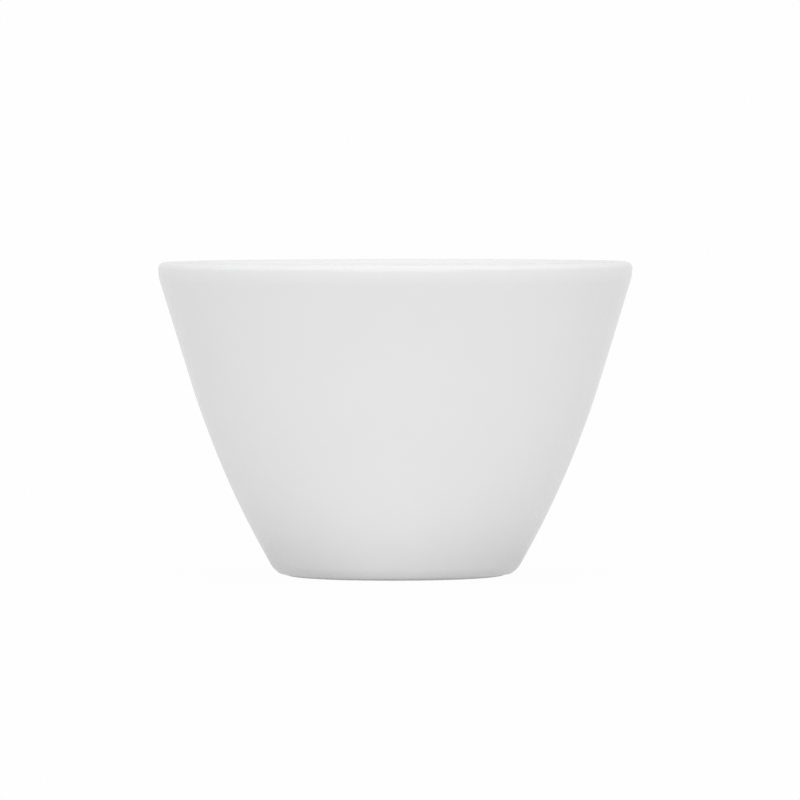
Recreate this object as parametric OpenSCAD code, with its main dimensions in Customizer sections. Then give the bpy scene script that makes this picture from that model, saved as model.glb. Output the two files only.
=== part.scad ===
// Latte bowl: a fired porcelain body under a clear glaze, turned about +Z.
// The origin is the centre of the standing face. Lengths are millimetres, angles are degrees.

/* [Bowl] */
// Outside diameter across the glazed lip
rim_d = 120; // [106:0.5:140]
// Height from the standing face to the top of the lip
height = 79.5; // [68:0.1:96]
// Thickness of the lower wall, with the glaze on both faces
wall_t = 4; // [3:0.1:5.5]
// Radius of the slow curve low on the wall
belly_r = 231; // [120:1:310]
// Angle that the wall turns through in that curve
belly_turn = 12.65; // [8:0.05:16]

/* [Lip] */
// Radius of the fully rounded lip
lip_r = 1.65; // [1:0.05:2.2]
// Radius of the curve that stands the lip upright on the leaning wall
lip_turn_r = 12; // [6:0.5:30]

/* [Inside] */
// Radius of the curve between the wall and the inside floor
well_r = 24; // [12:0.5:28]
// Thickness of the floor, with the glaze on both faces
floor_t = 5; // [4:0.1:7]

/* [Foot] */
// Diameter across the outer edge of the flat standing face
foot_d = 51.4; // [45:0.1:58]
// Radius of the corner between the standing face and the wall
foot_corner_r = 6.6; // [3.5:0.1:9]
// Width of the flat standing face
foot_face_w = 2.4; // [1.4:0.1:4]
// Radius of the inner edge of the standing face
foot_edge_r = 0.8; // [0.4:0.1:1.2]
// Depth of the recess under the floor
recess_h = 2.2; // [1.6:0.1:3]
// Radius of the inner corner of the recess
recess_corner_r = 1.2; // [0.6:0.1:1.6]
// Draft of the recess wall from vertical
recess_draft = 15; // [5:1:30]

/* [Glaze] */
// Thickness of the glaze
glaze_t = 0.35; // [0.2:0.01:0.5]
// Height of the bare edge that the glaze leaves round the foot
bare_h = 0.4; // [0.3:0.05:1.2]

/* [Hidden] */
$fn = 180;
arc_sag = 0.004; // largest gap between a true arc and its chords
bare_colour = [0.93, 0.92, 0.9];
glaze_colour = [0.9, 0.9, 0.9];

// Unit vector at an angle from the radius towards +Z
function ray(angle) = [cos(angle), sin(angle)];
function angle_of(v) = atan2(v.y, v.x);
function reversed(list) = [for (i = [len(list) - 1 : -1 : 0]) list[i]];

// Outer wall: the lip's turn and the foot's corner are fixed by the sizes above.
// The straight wall and the belly are laid tangent between them, which sets the wall's lean.
foot_glaze_r = foot_corner_r + glaze_t;
foot_c = [foot_d / 2, foot_corner_r];
lip_c = [rim_d / 2 - lip_r, height - lip_r];
lip_turn_c = [rim_d / 2 - lip_turn_r, height - lip_r];
span = lip_turn_c - foot_c;
span_across = belly_r - lip_turn_r - (belly_r - foot_glaze_r) * cos(belly_turn);
span_along = sqrt(span * span - span_across * span_across);
lean = atan2(span_along, span_across) - angle_of(span);
foot_lean = lean + belly_turn;
belly_c = foot_c - (belly_r - foot_glaze_r) * ray(-foot_lean);

// Inner wall: tangent to the lip and to an arc that runs parallel to the belly
inner_belly_r = belly_r - wall_t;
lip_to_belly = lip_c - belly_c;
inner_lean = acos((inner_belly_r + lip_r) / norm(lip_to_belly)) - angle_of(lip_to_belly);

// Well: tangent to the inner belly and to the floor
floor_z = recess_h + floor_t;
well_drop = floor_z + well_r - belly_c.y;
well_reach = sqrt(pow(inner_belly_r - well_r, 2) - pow(well_drop, 2));
well_c = [belly_c.x + well_reach, floor_z + well_r];
well_lean = -angle_of(well_c - belly_c);

// Recess: the glaze stops where the edge of the standing face begins
bare_angle = -asin((foot_corner_r - bare_h) / foot_glaze_r);
recess_edge_c = [foot_d / 2 - foot_face_w, foot_edge_r];
recess_body_r = recess_corner_r + glaze_t;
recess_rise = recess_h - recess_corner_r - foot_edge_r
    + (recess_body_r + foot_edge_r) * sin(recess_draft);
recess_c = [
    recess_edge_c.x - (foot_edge_r + recess_body_r) * cos(recess_draft)
        - recess_rise * tan(recess_draft),
    recess_h - recess_corner_r
];

// Points along an arc. The chord count comes from the finished radius, so skins stay parallel.
function arc(centre, radius, growth, from, to) =
    let (step = 2 * acos(1 - arc_sag / radius), n = ceil(abs(to - from) / step))
    [for (i = [0 : n]) centre + (radius + growth) * ray(from + (to - from) * i / n)];

// Outer face, lip, inner face and floor as one line from the foot to the axis.
// depth is how far the line lies below the finished surface.
function shell_line(depth, start) = concat(
    arc(foot_c, foot_glaze_r, -depth, start, -foot_lean),
    arc(belly_c, belly_r, -depth, -foot_lean, -lean),
    arc(lip_turn_c, lip_turn_r, -depth, -lean, 0),
    arc(lip_c, lip_r, -depth, 0, 180 - inner_lean),
    arc(belly_c, inner_belly_r, depth, -inner_lean, -well_lean),
    arc(well_c, well_r, depth, -well_lean, -90),
    [[0, floor_z - depth]]
);

// Wall, corner and ceiling of the recess as one line from the standing face to the axis
function recess_line(depth) = concat(
    [recess_edge_c - (foot_edge_r + glaze_t - depth) * ray(recess_draft)],
    arc(recess_c, recess_corner_r, depth, recess_draft, 90),
    [[0, recess_h + depth]]
);

// Fired body, bare round the foot
module porcelain_body() {
    foot_edge = arc(recess_edge_c, foot_edge_r, 0, -90, recess_draft - 180);
    color(bare_colour)
        rotate_extrude()
            polygon(concat(
                reversed(recess_line(glaze_t)),
                reversed(foot_edge),
                shell_line(glaze_t, -90)
            ));
}

// Glaze over the outside, the lip and the inside, in one unbroken coat
module glaze_coat() {
    color(glaze_colour)
        rotate_extrude()
            polygon(concat(
                shell_line(0, bare_angle),
                reversed(shell_line(glaze_t, bare_angle))
            ));
}

// Glaze inside the foot, cut off from the main coat by the bare standing face
module underside_glaze() {
    color(glaze_colour)
        rotate_extrude()
            polygon(concat(
                recess_line(0),
                reversed(recess_line(glaze_t))
            ));
}

porcelain_body();
glaze_coat();
underside_glaze();
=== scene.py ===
import bpy
import numpy as np
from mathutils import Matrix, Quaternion, Vector


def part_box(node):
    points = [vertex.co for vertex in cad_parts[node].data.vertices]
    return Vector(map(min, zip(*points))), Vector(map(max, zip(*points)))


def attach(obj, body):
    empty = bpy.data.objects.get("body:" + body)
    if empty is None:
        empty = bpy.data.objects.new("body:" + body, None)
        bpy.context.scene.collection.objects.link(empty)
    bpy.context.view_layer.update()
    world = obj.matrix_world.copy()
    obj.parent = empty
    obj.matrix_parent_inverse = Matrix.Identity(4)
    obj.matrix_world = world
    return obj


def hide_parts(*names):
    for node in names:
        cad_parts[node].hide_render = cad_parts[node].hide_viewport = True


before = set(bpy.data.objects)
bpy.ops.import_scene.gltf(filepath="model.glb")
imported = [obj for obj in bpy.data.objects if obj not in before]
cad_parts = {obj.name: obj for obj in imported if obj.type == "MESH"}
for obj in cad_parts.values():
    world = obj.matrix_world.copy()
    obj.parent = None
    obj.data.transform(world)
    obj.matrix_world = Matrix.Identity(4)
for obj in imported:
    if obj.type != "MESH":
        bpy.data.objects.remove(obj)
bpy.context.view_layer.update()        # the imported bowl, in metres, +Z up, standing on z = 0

mm = 0.001
print("frame loaded:", ", ".join(sorted(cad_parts)))


# Sizes that the frame gives: the rim, the height, and where the glaze lies
coatLow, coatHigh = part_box("glaze_coat")
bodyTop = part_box("porcelain_body")[1].z
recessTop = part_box("underside_glaze")[1].z    # ceiling of the recess, behind its glaze
rimR = min(coatHigh.x, coatHigh.y)
height = coatHigh.z
glazeLine = coatLow.z                         # the coat's lowest point
glazeT = height - bodyTop
recessH = recessTop - glazeT

bowl = {
    "around": 256,            # segments round the axis
    "wallT": 4 * mm,          # lower wall, with the glaze on both faces
    "floorT": 5 * mm,         # floor, with the glaze on both faces
    "bellyR": 231 * mm,       # slow curve low on the wall
    "bellyTurn": 12.65,       # degrees that the wall turns through in it
    "lipR": 1.65 * mm,        # fully rounded lip
    "lipTurnR": 12 * mm,      # stands the lip upright on the leaning wall
    "wellR": 24 * mm,         # between the inside wall and the floor
    "footD": 51.4 * mm,       # outer edge of the flat standing face
    "footCornerR": 6.6 * mm,  # standing face to wall, without glaze
    "footFaceW": 2.4 * mm,    # flat standing face
    "footEdgeR": 0.8 * mm,    # its inner edge
    "recessCornerR": 1.2 * mm,
    "recessDraft": 15,        # degrees from vertical
    "steps": {                # points along each stretch of the outline
        "foot": 22,
        "belly": 28,
        "wall": 10,
        "lipTurn": 14,
        "lip": 24,
        "innerWall": 12,
        "innerBelly": 18,
        "well": 22,
        "floor": 6,
        "ceiling": 8,
        "recessCorner": 10,
        "recessWall": 6,
        "footEdge": 8,
        "footFace": 6,
    },
}

steps = bowl["steps"]
turn = np.linspace(0, 2 * np.pi, bowl["around"], endpoint=False)   # angles round the axis
allRound = np.zeros(bowl["around"])   # added to a value, it repeats the value for every segment


def ray(angle):
    # unit vectors (radius, height) at angles in degrees from the radius towards +Z
    return np.stack([np.cos(np.radians(angle)), np.sin(np.radians(angle))], axis=-1)


def angleOf(arrow):
    # degrees from the radius towards +Z
    return np.degrees(np.arctan2(arrow[1], arrow[0]))


def arc(centre, radius, start, end, count):
    # centre + radius * ray, at count angles from start to just before end, for every segment
    angles = np.linspace(start + allRound, end + allRound, count, endpoint=False)
    return centre + radius * ray(angles)


def straight(start, end, count):
    # start + share * (end - start), at count shares from 0 to just before 1, for every segment
    share = np.linspace(0, 1, count, endpoint=False)[:, None, None]
    return start + (end - start) * share + allRound[:, None]


# Outer wall: the belly and the straight wall lie tangent between the lip's turn and the foot's corner
footGlazeR = bowl["footCornerR"] + glazeT
footC = np.array([bowl["footD"] / 2, bowl["footCornerR"]])
lipC = np.array([rimR - bowl["lipR"], height - bowl["lipR"]])
lipTurnC = np.array([rimR - bowl["lipTurnR"], height - bowl["lipR"]])
footToBelly = bowl["bellyR"] - footGlazeR     # between the centres of the two arcs
span = lipTurnC - footC
spanAcross = bowl["bellyR"] - bowl["lipTurnR"] - footToBelly * ray(bowl["bellyTurn"])[0]
spanAlong = np.sqrt(span @ span - spanAcross ** 2)
lean = angleOf((spanAcross, spanAlong)) - angleOf(span)
footLean = lean + bowl["bellyTurn"]
bellyC = footC - footToBelly * ray(-footLean)

# Inner wall: tangent to the lip and to an arc that runs parallel to the belly; the well is tangent to that
innerBellyR = bowl["bellyR"] - bowl["wallT"]
lipToBelly = lipC - bellyC
lipCosine = (innerBellyR + bowl["lipR"]) / np.hypot(*lipToBelly)
innerLean = np.degrees(np.arccos(lipCosine)) - angleOf(lipToBelly)
floorZ = recessH + bowl["floorT"]
wellZ = floorZ + bowl["wellR"]
wellOut = np.sqrt((innerBellyR - bowl["wellR"]) ** 2 - (wellZ - bellyC[1]) ** 2)
wellC = np.array([bellyC[0] + wellOut, wellZ])
wellLean = -angleOf(wellC - bellyC)

# Recess: a drafted wall, a rounded corner and a flat ceiling
recessEdgeC = np.array([bowl["footD"] / 2 - bowl["footFaceW"], bowl["footEdgeR"]])
recessBodyR = bowl["recessCornerR"] + glazeT
recessWay = bowl["footEdgeR"] + recessBodyR   # between the centres of the two arcs, square to the wall
recessZ = recessH - bowl["recessCornerR"]
draft = ray(bowl["recessDraft"])
recessRise = recessZ - bowl["footEdgeR"] + recessWay * draft[1]
recessC = np.array([recessEdgeC[0] - recessWay * draft[0] - recessRise * draft[1] / draft[0], recessZ])


def shellLine(depth, start, footSteps):
    # the bowl's skin from the foot over the lip to the floor's centre, at a depth below the finished
    # surface: arcs and straight lines, each tangent to the next
    belly, inner = bowl["bellyR"] - depth, innerBellyR + depth
    lipTurn, lip = bowl["lipTurnR"] - depth, bowl["lipR"] - depth
    wallLow, wallHigh = bellyC + belly * ray(-lean), lipTurnC + lipTurn * ray(-lean)
    innerHigh, innerLow = lipC + lip * ray(180 - innerLean), bellyC + inner * ray(-innerLean)
    floorEdge = wellC - [0, bowl["wellR"] + depth]
    return np.concatenate([
        arc(footC, footGlazeR - depth, start, -footLean, footSteps),
        arc(bellyC, belly, -footLean, -lean, steps["belly"]),
        straight(wallLow, wallHigh, steps["wall"]),
        arc(lipTurnC, lipTurn, -lean, 0, steps["lipTurn"]),
        arc(lipC, lip, 0, 180 - innerLean, steps["lip"]),
        straight(innerHigh, innerLow, steps["innerWall"]),
        arc(bellyC, inner, -innerLean, -wellLean, steps["innerBelly"]),
        arc(wellC, bowl["wellR"] + depth, -wellLean, -90, steps["well"]),
        straight(floorEdge, np.array([0, floorEdge[1]]), steps["floor"]),
    ])


def recessLine(depth, wallSteps):
    # the recess from beside its centre to the inner edge of the standing face, at a depth below its
    # finished surface: a flat, an arc and a straight wall, each tangent to the next
    corner = recessC + (bowl["recessCornerR"] + depth) * draft
    edge = recessEdgeC - (bowl["footEdgeR"] + glazeT - depth) * draft
    ceiling = recessC + [0, bowl["recessCornerR"] + depth]
    middle = np.array([0, ceiling[1]])
    return np.concatenate([
        straight(middle, ceiling, steps["ceiling"])[1:],
        arc(recessC, bowl["recessCornerR"] + depth, 90, bowl["recessDraft"], steps["recessCorner"]),
        straight(corner, edge, wallSteps),
        edge + allRound[None, :, None],
    ])


def newObject(name, data):
    # an object at the origin, in the scene
    made = bpy.data.objects.new(name, data)
    bpy.context.scene.collection.objects.link(made)
    return made


def turned(name, line, low, high, material):
    # the line's points carried round the axis: (r cos u, r sin u, z),
    # closed by one point on the axis at each end
    rows, around = line.shape[:2]
    ring = np.stack([line[..., 0] * np.cos(turn), line[..., 0] * np.sin(turn), line[..., 1]], axis=-1)
    points = np.concatenate([ring.reshape(-1, 3), [[0, 0, low], [0, 0, high]]])
    here = np.arange(rows * around).reshape(rows, around)
    beside = np.roll(here, -1, axis=1)
    quads = np.stack([here[:-1], beside[:-1], beside[1:], here[1:]], axis=-1).reshape(-1, 4)
    lowFan = np.stack([np.full(around, rows * around), beside[0], here[0]], axis=-1)
    highFan = np.stack([here[-1], beside[-1], np.full(around, rows * around + 1)], axis=-1)
    mesh = bpy.data.meshes.new(name)
    mesh.from_pydata(points.tolist(), [], quads.tolist() + lowFan.tolist() + highFan.tolist())
    mesh.polygons.foreach_set("use_smooth", np.ones(len(mesh.polygons), bool))
    mesh.materials.append(material)
    piece = newObject(name, mesh)
    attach(piece, "root")
    print("made", name, "with", len(mesh.polygons), "faces")
    return piece


class Wire:
    # one output socket of a node tree; sums and products of wires add their Math nodes to the tree
    def __init__(self, tree, socket=None):
        self.tree = tree
        self.socket = socket

    def add(self, kind, settings, inputs, output=0):
        # makes any node: its settings first, then the values or wires of its sockets
        node = self.tree.nodes.new(kind)
        for key, value in settings.items():
            setattr(node, key, value)
        for key, value in inputs.items():
            if isinstance(value, Wire):
                self.tree.links.new(value.socket, node.inputs[key])
            else:
                node.inputs[key].default_value = value
        return Wire(self.tree, node.outputs[output])

    def maths(self, operation, first, second=0):
        return self.add("ShaderNodeMath", {"operation": operation}, {0: first, 1: second})

    def between(self, low, high):
        # 0 below low, 1 above high, and a smooth step from one to the other
        return self.add("ShaderNodeMapRange", {"interpolation_type": "SMOOTHSTEP"},
                        {"Value": self, "From Min": low, "From Max": high})

    def __add__(self, other):
        return self.maths("ADD", self, other)

    def __radd__(self, other):
        return self.maths("ADD", other, self)

    def __sub__(self, other):
        return self.maths("SUBTRACT", self, other)

    def __rsub__(self, other):
        return self.maths("SUBTRACT", other, self)

    def __mul__(self, other):
        return self.maths("MULTIPLY", self, other)

    def __rmul__(self, other):
        return self.maths("MULTIPLY", other, self)


def newMaterial(name):
    # an empty material, and a wire to build on
    material = bpy.data.materials.new(name)
    material.use_nodes = True
    material.node_tree.nodes.clear()
    return material, Wire(material.node_tree)


def finishWith(wire, shader, kind="ShaderNodeOutputMaterial"):
    # joins a shader to the output of its tree
    wire.tree.links.new(shader.socket, wire.tree.nodes.new(kind).inputs["Surface"])


def clouds(wire, place, perMetre, detail=2.0):
    # soft lumps between 0 and 1
    return wire.add("ShaderNodeTexNoise", {}, {"Vector": place, "Scale": perMetre, "Detail": detail}, "Fac")


def mixColours(wire, factor, first, second):
    # inputs 0, 6 and 7 of a Mix node are its factor and its two colours, and output 2 is their mix
    return wire.add("ShaderNodeMix", {"data_type": "RGBA"}, {0: factor, 6: first, 7: second}, 2)


def objectPlace(wire):
    # the point that is shaded, in metres
    return wire.add("ShaderNodeTexCoord", {}, {}, "Object")


def axisWay(wire, place):
    # its distance from the axis
    flat = wire.add("ShaderNodeVectorMath", {"operation": "MULTIPLY"}, {0: place, 1: (1, 1, 0)})
    return wire.add("ShaderNodeVectorMath", {"operation": "LENGTH"}, {0: flat}, "Value")


def heightOf(wire, place):
    return wire.add("ShaderNodeSeparateXYZ", {}, {0: place}, "Z")


def surface(wire, finish, colour, rough, relief):
    # the shader of both finishes, with the relief as a bump
    normal = wire.add("ShaderNodeBump", {}, {
        "Strength": finish["reliefStrength"], "Distance": finish["reliefDepth"], "Height": relief})
    finishWith(wire, wire.add("ShaderNodeBsdfPrincipled", {}, {
        "Base Color": colour, "Roughness": rough, "IOR": finish["ior"], "Normal": normal}))


glazeFinish = {
    "colour": (0.87, 0.87, 0.87, 1),
    "pooled": (0.845, 0.85, 0.85, 1),    # where the glaze runs together and lies thick
    "poolTop": 5 * mm,                   # it gathers this far above its edge at the foot
    "poolAtFoot": 0.75,                  # share of the pooled colour there
    "poolInPatches": 0.5,                # share of it in slow patches all over
    "poolLost": 0.2,                     # share taken off everywhere, so that thin glaze stays plain
    "patches": 45,                       # slow patches to the metre
    "swell": 85,                         # slow swells to the metre
    "swellDetail": 1.0,
    "peel": 700,                         # fine dimples to the metre
    "peelDetail": 1.5,
    "ringGap": 3.2 * mm,                 # forming rings under the glaze
    "ringWander": 1.5 * mm,              # how far the patches push them aside
    "rough": 0.09,
    "roughInPatches": 0.05,              # added to it in the patches
    "ior": 1.52,
    "swellRelief": 0.55,                 # shares of the relief
    "peelRelief": 0.1,
    "ringRelief": 0.04,
    "reliefDepth": 0.05 * mm,
    "reliefStrength": 0.35,
}


def whiteGlaze():
    material, wire = newMaterial("whiteGlaze")
    place = objectPlace(wire)
    radius, z = axisWay(wire, place), heightOf(wire, place)
    patches = clouds(wire, place, glazeFinish["patches"])
    swell = clouds(wire, place, glazeFinish["swell"], glazeFinish["swellDetail"])
    peel = clouds(wire, place, glazeFinish["peel"], glazeFinish["peelDetail"])
    ringWay = (radius + z + patches * glazeFinish["ringWander"]) * (2 * np.pi / glazeFinish["ringGap"])
    rings = wire.maths("SINE", ringWay) * swell
    nearFoot = 1 - z.between(glazeLine, glazeLine + glazeFinish["poolTop"])
    pooled = glazeFinish["poolAtFoot"] * nearFoot + glazeFinish["poolInPatches"] * patches
    pooled = pooled - glazeFinish["poolLost"]
    colour = mixColours(wire, pooled, glazeFinish["colour"], glazeFinish["pooled"])
    rough = glazeFinish["rough"] + glazeFinish["roughInPatches"] * patches
    relief = glazeFinish["swellRelief"] * swell + glazeFinish["peelRelief"] * peel
    relief = relief + glazeFinish["ringRelief"] * rings
    surface(wire, glazeFinish, colour, rough, relief)
    return material


bareFinish = {
    "colour": (0.87, 0.86, 0.84, 1),
    "grit": (0.72, 0.70, 0.67, 1),          # darker grains in the fired body
    "gritRange": (0.6, 0.78),               # part of the grain that is grit
    "grain": 2600,                          # grains to the metre
    "grainDetail": 3.0,
    "rubbed": (0.70, 0.69, 0.67, 1),        # grey where the foot has slid on tables
    "rubShare": 0.6,
    "rubHeight": (0.02 * mm, 0.12 * mm),    # it fades from the first height to the second
    "rubPatches": 180,                      # rubbed patches to the metre
    "rubRange": (0.4, 0.75),                # part of the patches that is rubbed
    "ringGap": 0.3 * mm,                    # rings left by smoothing the foot
    "rough": 0.6,
    "roughInGrain": 0.14,                   # added to it in the grain
    "roughRubbed": 0.12,                    # taken off it where the foot is rubbed
    "ior": 1.5,
    "grainRelief": 0.6,                     # shares of the relief
    "ringRelief": 0.12,
    "reliefDepth": 0.04 * mm,
    "reliefStrength": 0.4,
}


def barePorcelain():
    material, wire = newMaterial("barePorcelain")
    place = objectPlace(wire)
    radius, z = axisWay(wire, place), heightOf(wire, place)
    grain = clouds(wire, place, bareFinish["grain"], bareFinish["grainDetail"])
    patches = clouds(wire, place, bareFinish["rubPatches"])
    rings = wire.maths("SINE", radius * (2 * np.pi / bareFinish["ringGap"]))
    grit = grain.between(*bareFinish["gritRange"])
    rubbed = (1 - z.between(*bareFinish["rubHeight"])) * patches.between(*bareFinish["rubRange"])
    gritty = mixColours(wire, grit, bareFinish["colour"], bareFinish["grit"])
    colour = mixColours(wire, bareFinish["rubShare"] * rubbed, gritty, bareFinish["rubbed"])
    rough = bareFinish["rough"] + bareFinish["roughInGrain"] * grain - bareFinish["roughRubbed"] * rubbed
    relief = bareFinish["grainRelief"] * grain + bareFinish["ringRelief"] * rings
    surface(wire, bareFinish, colour, rough, relief)
    return material


glazeMaterial = whiteGlaze()
bareMaterial = barePorcelain()
print("materials ready")


# Fired body: recess, rounded inner edge and flat of the standing face, then the skin under the glaze
def makeBody():
    faceIn, faceOut = np.array([recessEdgeC[0], 0]), np.array([footC[0], 0])
    line = np.concatenate([
        recessLine(glazeT, steps["recessWall"]),
        arc(recessEdgeC, bowl["footEdgeR"], bowl["recessDraft"] - 180, -90, steps["footEdge"])[1:],
        straight(faceIn, faceOut, steps["footFace"]),
        shellLine(glazeT, -90, steps["foot"]),
    ])
    return turned("porcelainBody", line, recessTop, floorZ - glazeT, bareMaterial)


body = makeBody()
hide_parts("porcelain_body")


coat = {
    "beadW": 0.5 * mm,        # the glaze rounds off over this width at its edge
    "beadSteps": 8,
    "footSteps": 12,          # points from the bead to the belly, over which the ripples set in
    "edgeWander": 0.3 * mm,   # the glaze line rises by up to this much round the foot
    "edgeWaves": (2, 9),      # in 2 to 8 waves
    "thinned": 0.1,           # share of the thickness that the slow ripples take away
    "rippleWaves": (4, 13),   # in 4 to 12 waves round the bowl
    "rippleLength": (14 * mm, 30 * mm),   # of a wave along the outline
    "seed": 4,
}


def wander(waves, draw):
    # a sum of cosines round the axis with whole numbers of waves, each divided by its number of waves,
    # scaled to run from 0 to 1
    waves = np.arange(*waves)[:, None]
    phases = draw.uniform(0, 2 * np.pi, len(waves))[:, None]
    total = (np.cos(waves * turn + phases) / waves).sum(axis=0)
    return (total - total.min()) / np.ptp(total)


def rippled(line, draw):
    # slow ripples over the skin: a sum of cosines of the angle round the axis and of the way along the
    # line, scaled to lie between 0 and 1
    step = np.diff(line, axis=0, prepend=line[:1])
    way = np.cumsum(np.hypot(step[..., 0], step[..., 1]), axis=0)
    total = np.zeros(way.shape)
    for waves in range(*coat["rippleWaves"]):
        length = draw.uniform(*coat["rippleLength"])
        phase = draw.uniform(0, 2 * np.pi)
        total += np.cos(waves * turn + 2 * np.pi * way / length + phase)
    return 0.5 + 0.5 * total / np.abs(total).max()


# Glaze coat: a film between the body's skin and the finished skin, with a rounded edge that wanders
# a little round the foot
def makeCoat():
    draw = np.random.default_rng(coat["seed"])
    lowest = -np.degrees(np.arcsin((bowl["footCornerR"] - glazeLine) / footGlazeR))
    start = lowest + np.degrees(coat["edgeWander"] / footGlazeR) * wander(coat["edgeWaves"], draw)
    bead = np.degrees(coat["beadW"] / footGlazeR)
    beadTurn = np.radians(np.linspace(0, 90, coat["beadSteps"], endpoint=False))[:, None]
    beadAngle = start + bead * (1 - np.cos(beadTurn))
    beadUnder = footC + (footGlazeR - glazeT) * ray(beadAngle)
    beadOver = footC + (footGlazeR - glazeT + glazeT * np.sin(beadTurn))[..., None] * ray(beadAngle)
    skinUnder = shellLine(glazeT, start + bead, coat["footSteps"])
    skinOver = shellLine(0, start + bead, coat["footSteps"])
    setIn = np.clip(np.arange(len(skinOver)) / (coat["footSteps"] - 1), 0, 1)
    thin = coat["thinned"] * rippled(skinOver, draw) * setIn[:, None]
    skinOver = skinOver + (skinUnder - skinOver) * thin[..., None]
    line = np.concatenate([skinUnder[::-1], beadUnder[::-1], beadOver[1:], skinOver])
    return turned("glazeCoat", line, floorZ - glazeT, floorZ - glazeT * thin[-1].mean(), glazeMaterial)


glazeCoat = makeCoat()
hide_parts("glaze_coat")


film = {
    "edgeSteps": 14,          # points down the recess wall
    "edgePower": 6,           # a higher power rounds the film off later on its way down
}


# Underside glaze: the same film in the recess, rounded off where the standing face begins:
# 1 - sqrt(1 - share ** power) of its thickness is gone at a share of the way down the recess wall
def makeUnderside():
    count = film["edgeSteps"]
    under, over = recessLine(glazeT, count), recessLine(0, count)
    thin = np.zeros(len(over))
    thin[-count - 1:] = 1 - np.sqrt(1 - np.linspace(0, 1, count + 1) ** film["edgePower"])
    over = over + (under - over) * thin[:, None, None]
    line = np.concatenate([over, under[-2::-1]])
    return turned("undersideGlaze", line, recessH, recessTop, glazeMaterial)


underside = makeUnderside()
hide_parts("underside_glaze")


studio = {
    "backdrop": 0.991,            # white behind the bowl, as the camera sees it
    "mirrored": 0.82,             # the backdrop as the glaze mirrors it
    "sky": 0.73,                  # soft light from all round
    "aim": (0, 0, 50 * mm),       # the lamps point here
    "lamps": {                    # places and sizes in metres, power in watts
        "highSoftbox": {"place": (0, -0.5, 1.2), "size": (2.4, 0.5), "power": 1.8},
        "frontSoftbox": {"place": (0, -0.92, 0.97), "size": (2.7, 0.8), "power": 2.5},
        "lowSoftbox": {"place": (0.08, -1.37, 0.33), "size": (1.6, 0.5), "power": 3.1},
        "leftSoftbox": {"place": (-1.1, -0.25, 0.75), "size": (1.2, 0.9), "power": 1.3},
        "rightSoftbox": {"place": (1.1, -0.25, 0.75), "size": (1.2, 0.9), "power": 1.3},
    },
}


def lightPath(wire, kind):
    return wire.add("ShaderNodeLightPath", {}, {}, "Is " + kind + " Ray")


def makeWorld():
    # white for the camera and through clear glass, greyer in reflections, a soft light on surfaces
    world = bpy.data.worlds.new("studioSky")
    world.use_nodes = True
    world.node_tree.nodes.clear()
    wire = Wire(world.node_tree)
    seen = lightPath(wire, "Camera") + lightPath(wire, "Transmission")
    strength = studio["sky"] + (studio["backdrop"] - studio["sky"]) * seen
    strength = strength + (studio["mirrored"] - studio["sky"]) * lightPath(wire, "Glossy")
    light = wire.add("ShaderNodeBackground", {}, {"Color": (1, 1, 1, 1), "Strength": strength})
    finishWith(wire, light, "ShaderNodeOutputWorld")
    bpy.context.scene.world = world


floor = {
    "holeR": bowl["footD"] / 2 - 0.2 * mm,    # open under the foot, so that the underside can be looked at
    "edgeR": 6.0,
    "colour": (0.6, 0.6, 0.6, 1),
    "ringGlow": 0.19,                         # light that comes up through the pale floor round the bowl
    "ringGlowRise": (40 * mm, 60 * mm),       # it sets in from the first distance to the second
    "ringGlowFall": (60 * mm, 300 * mm),      # and fades between these
    "footGlow": 0.21,                         # more of it close to the foot
    "footGlowReach": 37 * mm,
    "frontGlow": 0.13,                        # and in a soft pool in front of the foot
    "frontGlowPlace": (-3 * mm, -56 * mm, 0),
    "frontGlowFall": (4 * mm, 34 * mm),
    "litSeen": 0.02,                          # share of the lit floor, with the bowl's shadow, that shows
    "litSeenReach": 160 * mm,                 # it has faded at this distance from the axis
    "litMirrored": 0.3,                       # share of it that the glaze mirrors
    "litMirroredReach": 500 * mm,
}


def floorGlow(wire, place, radius):
    # a wide ring, a narrow ring at the foot and a round pool, added up
    frontWay = wire.add("ShaderNodeVectorMath", {"operation": "DISTANCE"},
                        {0: place, 1: floor["frontGlowPlace"]}, "Value")
    ring = radius.between(*floor["ringGlowRise"]) - radius.between(*floor["ringGlowFall"])
    foot = 1 - radius.between(floor["holeR"], floor["footGlowReach"])
    front = 1 - frontWay.between(*floor["frontGlowFall"])
    return floor["ringGlow"] * ring + floor["footGlow"] * foot + floor["frontGlow"] * front


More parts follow.
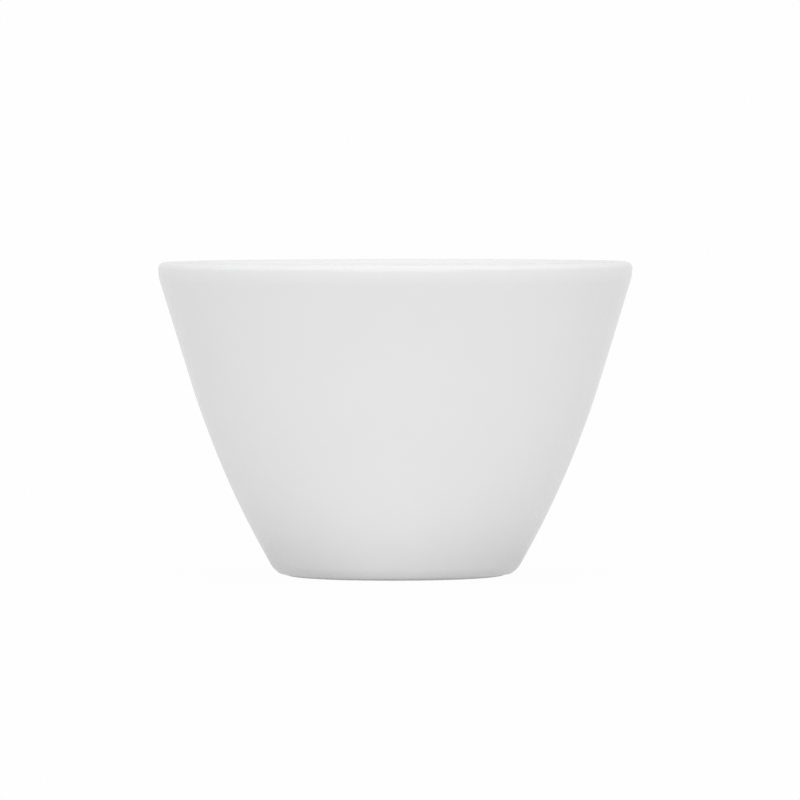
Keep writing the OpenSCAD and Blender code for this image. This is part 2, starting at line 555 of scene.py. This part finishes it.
def paleFloor():
    # like the backdrop where the camera or the glaze sees it, apart from a share of the lit floor near
    # the bowl; the lit floor with its glow for all other light; clear from below
    material, wire = newMaterial("paleFloor")
    place = objectPlace(wire)
    radius = axisWay(wire, place)
    camera, glossy, through = [lightPath(wire, kind) for kind in ("Camera", "Glossy", "Transmission")]
    diffuse = wire.add("ShaderNodeBsdfDiffuse", {}, {"Color": floor["colour"]})
    light = wire.add("ShaderNodeEmission", {}, {"Strength": 1})
    glowing = wire.add("ShaderNodeMixShader", {}, {0: floorGlow(wire, place, radius), 2: light})
    lit = wire.add("ShaderNodeAddShader", {}, {0: diffuse, 1: glowing})
    seen = wire.add("ShaderNodeEmission", {}, {"Strength": studio["backdrop"]})
    mirrored = wire.add("ShaderNodeEmission", {}, {"Strength": studio["mirrored"]})
    white = wire.add("ShaderNodeMixShader", {}, {0: glossy, 1: seen, 2: mirrored})
    litSeen = floor["litSeen"] * (1 - radius.between(floor["holeR"], floor["litSeenReach"]))
    litMirrored = floor["litMirrored"] * (1 - radius.between(floor["holeR"], floor["litMirroredReach"]))
    whiteShare = camera * (1 - litSeen) + through + glossy * (1 - litMirrored)
    above = wire.add("ShaderNodeMixShader", {}, {0: whiteShare, 1: lit, 2: white})
    clear = wire.add("ShaderNodeBsdfTransparent", {}, {})
    fromBelow = wire.add("ShaderNodeNewGeometry", {}, {}, "Backfacing")
    finishWith(wire, wire.add("ShaderNodeMixShader", {}, {0: fromBelow, 1: above, 2: clear}))
    return material


def makeFloor():
    # a flat ring: (r cos u, r sin u, 0) for the two radii
    radii = np.array([floor["holeR"], floor["edgeR"]])[:, None]
    points = np.stack([radii * np.cos(turn), radii * np.sin(turn), radii * allRound], axis=-1)
    here = np.arange(len(turn))
    beside = np.roll(here, -1)
    faces = np.stack([here, here + len(turn), beside + len(turn), beside], axis=-1)
    mesh = bpy.data.meshes.new("studioFloor")
    mesh.from_pydata(points.reshape(-1, 3).tolist(), [], faces.tolist())
    mesh.materials.append(paleFloor())
    ground = newObject("studioFloor", mesh)


def gaze(place, aim):
    # turns what looks along its own -Z from place towards aim
    return (Vector(aim) - Vector(place)).to_track_quat("-Z", "Y")


def makeLamp(name, place, size, power):
    lamp = bpy.data.lights.new(name, "AREA")
    lamp.shape = "RECTANGLE"
    lamp.size, lamp.size_y = size
    lamp.energy = power
    holder = newObject(name, lamp)
    holder.location = place
    holder.rotation_euler = gaze(place, studio["aim"]).to_euler()
    holder.visible_camera = False


makeWorld()
makeFloor()
for lampName, lamp in studio["lamps"].items():
    makeLamp(lampName, **lamp)
bpy.context.scene.view_settings.view_transform = "Standard"
print("studio ready")


shot = {
    "place": (1.15 * mm, -2163 * mm, 106.5 * mm),   # far off, a little above the rim
    "aim": (1.15 * mm, 0, 44.5 * mm),
    "roll": -0.09,                                  # degrees
    "lens": 384.8,                                  # millimetres, like the sensor
    "sensor": 36,
}


def makeCamera():
    lens = bpy.data.cameras.new("photoCamera")
    lens.lens = shot["lens"]
    lens.sensor_width = shot["sensor"]
    camera = newObject("photoCamera", lens)
    camera.location = shot["place"]
    rolled = gaze(shot["place"], shot["aim"]) @ Quaternion((0, 0, 1), np.radians(shot["roll"]))
    camera.rotation_euler = rolled.to_euler()
    bpy.context.scene.camera = camera


makeCamera()
print("camera ready")
